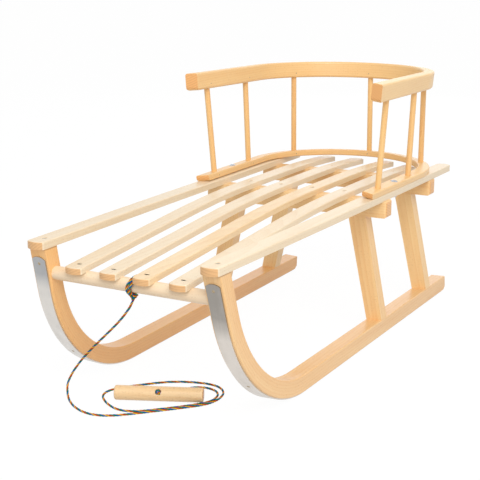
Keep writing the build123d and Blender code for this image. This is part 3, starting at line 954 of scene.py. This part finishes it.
@dataclass
class Backrest:
    """Two bent rails, seven spindles, the bolts and the pins that hold the spindles."""

    spindles: int = 7
    pin_radius: float = 0.0012
    pin_dome: float = 0.0003
    pin_foot: float = 0.0006
    pin_shoulders: tuple[tuple[float, float], ...] = ((0.6, 0.8),)
    pin_sides: int = 14
    pin_above_foot: float = 0.003
    pin_below_head: float = 0.010
    end_band: float = 0.003
    start: float = 0.05

    @staticmethod
    def faces(rail: str) -> BVHTree:
        """Gather a rail's faces, so that a ray can find its inner side."""
        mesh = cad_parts[rail].data
        return BVHTree.FromPolygons([v.co for v in mesh.vertices], [face.vertices for face in mesh.polygons])

    def pin(self, shell: Shell, node: str, rail: BVHTree, centre: float, upper: bool) -> None:
        """Drive one pin through a rail's inner face into a spindle.

        Args:
            shell: Faces to add to.
            node: Name of the spindle.
            rail: Faces of the rail.
            centre: Y of the middle of the rail's bend.
            upper: Whether it holds the spindle's head, not its foot.
        """
        points = [vertex.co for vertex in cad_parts[node].data.vertices]
        foot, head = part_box(node)
        end = head.z if upper else foot.z
        close = [Vector(point) for point in points if abs(point.z - end) < self.end_band]
        axis = sum(close, Vector()) / len(close)
        axis.z = end - self.pin_below_head if upper else end + self.pin_above_foot
        angle = math.atan2(axis.x, max(axis.y - centre, 0.0))
        inwards = -Vector((math.sin(angle), math.cos(angle), 0.0))
        point, normal, *_ = rail.ray_cast(axis + inwards * self.start, -inwards)
        profile = domed_head(self.pin_radius, self.pin_foot, self.pin_dome, self.pin_shoulders)
        shell.turned(profile, facing(point, normal), self.pin_sides)

    def build(self) -> None:
        """Dress the backrest and drive its pins."""
        nodes = [f"spindle_{number}" for number in range(1, self.spindles + 1)]
        dress(["back_rail_lower"], RAIL_BEECH.material(Grain.LOWER_RAIL_BEND))
        dress(["back_rail_upper"], RAIL_BEECH.material(Grain.UPPER_RAIL_BEND))
        dress(nodes, SPINDLE_BEECH.material(Grain.UPRIGHT))
        dress(["backrest_bolt_left", "backrest_bolt_right"], BOLT_ZINC.material())
        lower, upper = self.faces("back_rail_lower"), self.faces("back_rail_upper")
        shell = Shell()
        for node in nodes:
            self.pin(shell, node, lower, LOWER_RAIL_CENTRE, False)
            self.pin(shell, node, upper, UPPER_RAIL_CENTRE, True)
        shell.piece("rail_pins", [NAIL_STEEL.material()], "bolt_steel")


@dataclass
class TowCord:
    """Limp cord of four twisted strands, from the knot on the front bar to the wooden handle."""

    diameter: float = 0.004
    length: float = 1.19
    strand_radius: float = 0.00077
    strand_offset: float = 0.00105
    pitch: float = 0.021
    sides: int = 8
    station_zero: float = -0.475
    bar_radius: float = 0.0105
    wrap_middle: float = 0.0062
    wrap_swing: float = 0.0044
    wrap_lean: float = 0.0036
    wrap_rise: float = 0.0011
    wrap_turns: float = 3.5
    wrap_skew: float = 0.7
    wrap_steps: int = 144
    ball_place: Point = (0.0056, -0.4434, 0.1922)
    ball_way: Point = (0.3, -0.8, 0.5)
    ball_scale: float = 0.0013
    tail: tuple[Point, ...] = (
        (0.0065, -0.4445, 0.1935), (0.0105, -0.4455, 0.1945), (0.0145, -0.4455, 0.1970),
    )
    knot_pitch: float = 0.013
    knot_steps: int = 72
    spline_steps: int = 24
    hole_place: Point = (-0.0037, -0.3696, 0.0181)
    hole_way: Point = (0.3306, -0.7495, 0.5736)
    end_scale: float = 0.00095
    end_sink: float = 0.0016
    # Columns: X, distance from the front tips of the outer slats, and height, in millimetres
    route: tuple[Point, ...] = (
        (5, 34.5, 190), (-2.8, 37, 176), (-13.5, 38.6, 162), (-27.5, 40, 146), (-50.5, 46.2, 125),
        (-81, 55, 98), (-108, 66, 74), (-130, 76, 53), (-145, 76, 33), (-150, 69, 16), (-143, 60, 6),
        (-130, 46, 2), (-109, 29, 2), (-86, 18, 2), (-66, 15, 2), (-45, 20, 2), (-26, 33, 2), (-8, 51, 2),
        (10.2, 69.6, 2), (28.9, 89.1, 2), (46, 107.4, 2), (60.1, 123, 2), (70, 140, 2), (73.5, 162, 2),
        (67.5, 187, 2), (49, 205, 2), (24, 208, 2), (-5, 200, 2), (-29, 188, 2), (-48, 172, 2),
        (-66, 152, 2), (-82, 134, 2), (-95, 115, 2), (-98, 97, 2), (-92, 82, 2), (-79, 69, 2), (-61, 57, 2),
        (-43, 50, 2), (-26, 51, 2), (-8, 60, 2), (6, 73.5, 2), (23.2, 91, 2), (40.4, 109.2, 2),
        (55.6, 127.6, 2), (65, 142, 2), (67.5, 157, 2), (64, 174, 2), (53, 187, 2), (36, 192, 2),
        (19, 188, 2), (5, 173, 2), (-6, 155, 2), (-12, 141, 2), (-13, 131, 2.2), (-10.9, 122.9, 5),
        (-8.3, 116.9, 9.2),
    )

    def control_points(self) -> list[Vector]:
        """Give the route in metres in the sled's frame."""
        return [Vector((x * MM, s * MM + self.station_zero, z * MM)) for x, s, z in self.route]

    def smooth(self, name: str, points: Sequence[Vector]) -> list[Vector]:
        """Read points along one smooth spline.

        Args:
            name: Name of the curve while it exists.
            points: Its control points.

        Returns:
            Points along the spline, close together.
        """
        curve = bpy.data.curves.new(name, "CURVE")
        curve.dimensions = "3D"
        curve.resolution_u = self.spline_steps
        spline = curve.splines.new("NURBS")
        spline.points.add(len(points) - 1)
        for target, point in zip(spline.points, points):
            target.co = (*point, 1.0)
        spline.order_u = 3
        spline.use_endpoint_u = True
        holder = bpy.data.objects.new(name, curve)
        mesh = bpy.data.meshes.new_from_object(holder)
        line = [vertex.co.copy() for vertex in mesh.vertices]
        bpy.data.objects.remove(holder)
        bpy.data.curves.remove(curve)
        bpy.data.meshes.remove(mesh)
        return line

    def twist(self, shell: Shell, line: Sequence[Vector], pitch: float) -> None:
        """Lay four strands round a line.

        Args:
            shell: Faces to add to.
            line: Middle of the cord.
            pitch: Length of one full turn of the strands.
        """
        ways = directions(line)
        normal = ways[0].orthogonal().normalized()
        strands: list[list[Vector]] = [[] for _ in YARNS]
        run = 0.0
        for number, (point, way) in enumerate(zip(line, ways)):
            run += (point - line[number - 1]).length if number else 0.0
            normal = (normal - way * normal.dot(way)).normalized()
            side = way.cross(normal)
            for count, strand in enumerate(strands):
                angle = 2 * math.pi * (run / pitch + count / len(YARNS))
                out = math.cos(angle) * normal + math.sin(angle) * side
                strand.append(point + self.strand_offset * out)
        for count, strand in enumerate(strands):
            shell.tube(strand, self.strand_radius, self.sides, count)

    def build_cord(self, finishes: Sequence[bpy.types.Material]) -> tuple[bpy.types.Object, list[Vector]]:
        """Make the free cord.

        Args:
            finishes: Materials of the four yarns.

        Returns:
            The cord and the points that it follows.
        """
        line = self.smooth("cord_route", self.control_points())
        shell = Shell()
        self.twist(shell, line, self.pitch)
        return shell.piece("twisted_cord", finishes, "cord"), line

    def overhand(self, place: Matrix, scale: float) -> list[Vector]:
        """Follow a tight overhand knot.

        Args:
            place: Where the knot goes.
            scale: A third of the knot's radius in metres.

        Returns:
            Points once round the knot.
        """
        line = []
        for step in range(self.knot_steps + 1):
            turn = 2 * math.pi * step / self.knot_steps
            x = math.sin(turn) + 2 * math.sin(2 * turn)
            y = math.cos(turn) - 2 * math.cos(2 * turn)
            line.append(place @ (scale * Vector((x, y, -math.sin(3 * turn)))))
        return line

    def wraps(self) -> list[Vector]:
        """Wind the cord round the front bar.

        Returns:
            Points along the wraps.
        """
        low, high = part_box("front_bar")
        axis = Vector((0.0, (low.y + high.y) / 2, (low.z + high.z) / 2))
        reach = self.bar_radius + self.diameter / 2 + self.wrap_rise
        line = []
        for step in range(self.wrap_steps + 1):
            angle = 2 * math.pi * self.wrap_turns * (step / self.wrap_steps - 1.0)
            skewed = self.wrap_skew * angle
            swing = self.wrap_swing * 0.5 * (1.0 + math.sin(angle) ** 2)
            x = self.wrap_middle + swing * math.sin(skewed) - self.wrap_lean * math.cos(angle)
            out = reach + self.wrap_rise * math.cos(skewed)
            line.append(axis + Vector((x, -out * math.sin(angle), -out * math.cos(angle))))
        return line

    def build_front_knot(self, finishes: Sequence[bpy.types.Material]) -> bpy.types.Object:
        """Tie the cord round the front bar: a few wraps, a small knot below and a short tail.

        Args:
            finishes: Materials of the four yarns.

        Returns:
            The knot.
        """
        ball = facing(Vector(self.ball_place), Vector(self.ball_way))
        tail = self.smooth("tail_route", [Vector(point) for point in self.tail])
        shell = Shell()
        for line in (self.wraps(), self.overhand(ball, self.ball_scale), tail):
            self.twist(shell, line, self.knot_pitch)
        return shell.piece("front_knot", finishes, "cord")

    def build_end_knot(self, finishes: Sequence[bpy.types.Material]) -> bpy.types.Object:
        """Tie the knot that stops the cord in the mouth of the handle's hole.

        Args:
            finishes: Materials of the four yarns.

        Returns:
            The knot.
        """
        way = Vector(self.hole_way)
        place = facing(Vector(self.hole_place) - self.end_sink * way, way)
        shell = Shell()
        self.twist(shell, self.overhand(place, self.end_scale), self.knot_pitch)
        return shell.piece("end_knot", finishes, "cord")

    def build(self) -> None:
        finishes = [yarn.material() for yarn in YARNS]
        cord, line = self.build_cord(finishes)
        knot = self.build_front_knot(finishes)
        end_knot = self.build_end_knot(finishes)
        dress(["tow_handle"], HANDLE_BEECH.material(Grain.HANDLE))
        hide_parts("tow_cord")
        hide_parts("tow_knot")


@dataclass
class Studio:
    """Camera, white surroundings, pale floor and two soft lamps."""

    camera_place: Point = (0.88470, -1.71913, 0.66251)
    camera_pitch: float = 90.0 - 14.06
    camera_heading: float = 28.88
    lens: float = 83.79
    sensor: float = 36.0
    sky: float = 0.63
    floor_half: float = 30.0
    floor_tone: float = 0.7
    floor_glow: float = 0.92
    floor_light: float = 1.04
    lamp_aim: Point = (0.0, 0.0, 0.2)
    # Columns: name, place and diameter in metres, power in watts
    lamps: tuple[tuple[str, Point, float, float], ...] = (
        ("front_lamp", (1.4, -1.7, 2.1), 2.2, 55.0),
        ("sheen_lamp", (-0.9, 3.2, 1.5), 2.4, 9.0),
    )

    def camera(self) -> None:
        """Put the camera where the picture was taken from."""
        data = bpy.data.cameras.new("camera")
        data.sensor_width = self.sensor
        data.lens = self.lens
        camera = bpy.data.objects.new("camera", data)
        camera.location = self.camera_place
        camera.rotation_euler = (math.radians(self.camera_pitch), 0.0, math.radians(self.camera_heading))
        bpy.context.scene.collection.objects.link(camera)
        bpy.context.scene.camera = camera

    @staticmethod
    def seen(tree: bpy.types.NodeTree) -> Socket:
        """Tell rays that show the background from those that only light the sled.

        Args:
            tree: Node tree to add to.

        Returns:
            One for camera, glossy and transmission rays, else nought.
        """
        path = tree.nodes.new("ShaderNodeLightPath")
        total = path.outputs["Is Camera Ray"]
        for name in ("Is Glossy Ray", "Is Transmission Ray"):
            either = tree.nodes.new("ShaderNodeMath")
            either.operation = "MAXIMUM"
            tree.links.new(total, either.inputs[0])
            tree.links.new(path.outputs[name], either.inputs[1])
            total = either.outputs[0]
        return total

    def surroundings(self) -> None:
        """Make the white surroundings, which light the sled less than they show."""
        world = bpy.data.worlds.new("surroundings")
        world.use_nodes = True
        tree = world.node_tree
        tree.nodes.clear()
        strength = tree.nodes.new("ShaderNodeMapRange")
        strength.inputs["To Min"].default_value = self.sky
        strength.inputs["To Max"].default_value = 1.0
        tree.links.new(self.seen(tree), strength.inputs["Value"])
        glow = tree.nodes.new("ShaderNodeBackground")
        glow.inputs["Color"].default_value = (1.0, 1.0, 1.0, 1.0)
        tree.links.new(strength.outputs[0], glow.inputs["Strength"])
        output = tree.nodes.new("ShaderNodeOutputWorld")
        tree.links.new(glow.outputs[0], output.inputs["Surface"])
        bpy.context.scene.world = world

    def floor(self) -> None:
        """Lay the pale floor, which keeps a light shadow."""
        sketch = Sketch("studio_floor")
        matt = sketch.add("ShaderNodeBsdfDiffuse", {"Color": (self.floor_tone,) * 3})
        glow = sketch.add("ShaderNodeEmission", {"Color": (1.0, 1.0, 1.0), "Strength": self.floor_light})
        share = sketch.math("MULTIPLY", self.seen(sketch.tree), self.floor_glow)
        blend = sketch.add("ShaderNodeMixShader", {0: share, 1: matt.outputs[0], 2: glow.outputs[0]})
        sketch.tree.links.new(blend.outputs[0], sketch.output.inputs["Surface"])
        half = self.floor_half
        mesh = bpy.data.meshes.new("floor")
        corners = [(-half, -half, 0), (half, -half, 0), (half, half, 0), (-half, half, 0)]
        mesh.from_pydata(corners, [], [(0, 1, 2, 3)])
        mesh.materials.append(sketch.material)
        floor = bpy.data.objects.new("floor", mesh)
        bpy.context.scene.collection.objects.link(floor)

    def hang_lamps(self) -> None:
        """Hang one soft lamp above the front and one behind for the sheen on the slats."""
        for name, place, size, power in self.lamps:
            data = bpy.data.lights.new(name, "AREA")
            data.shape = "DISK"
            data.size = size
            data.energy = power
            lamp = bpy.data.objects.new(name, data)
            lamp.location = place
            aim = Vector(self.lamp_aim) - Vector(place)
            lamp.rotation_euler = aim.to_track_quat("-Z", "Y").to_euler()
            lamp.visible_camera = False
            bpy.context.scene.collection.objects.link(lamp)

    def build(self) -> None:
        """Set up the whole studio."""
        bpy.context.scene.view_settings.view_transform = "Standard"
        self.camera()
        self.surroundings()
        self.floor()
        self.hang_lamps()
        LOG.info("studio: camera, surroundings, floor and lamps")


def main() -> None:
    """Build the sled's looks."""
    logging.basicConfig(level=logging.INFO, format="%(name)s: %(message)s")
    for part in (Studio(), TowCord(), TimberFrame(), RunnerStrips(), SeatSlats(), Backrest()):
        part.build()


if __name__ == "__main__":
    main()
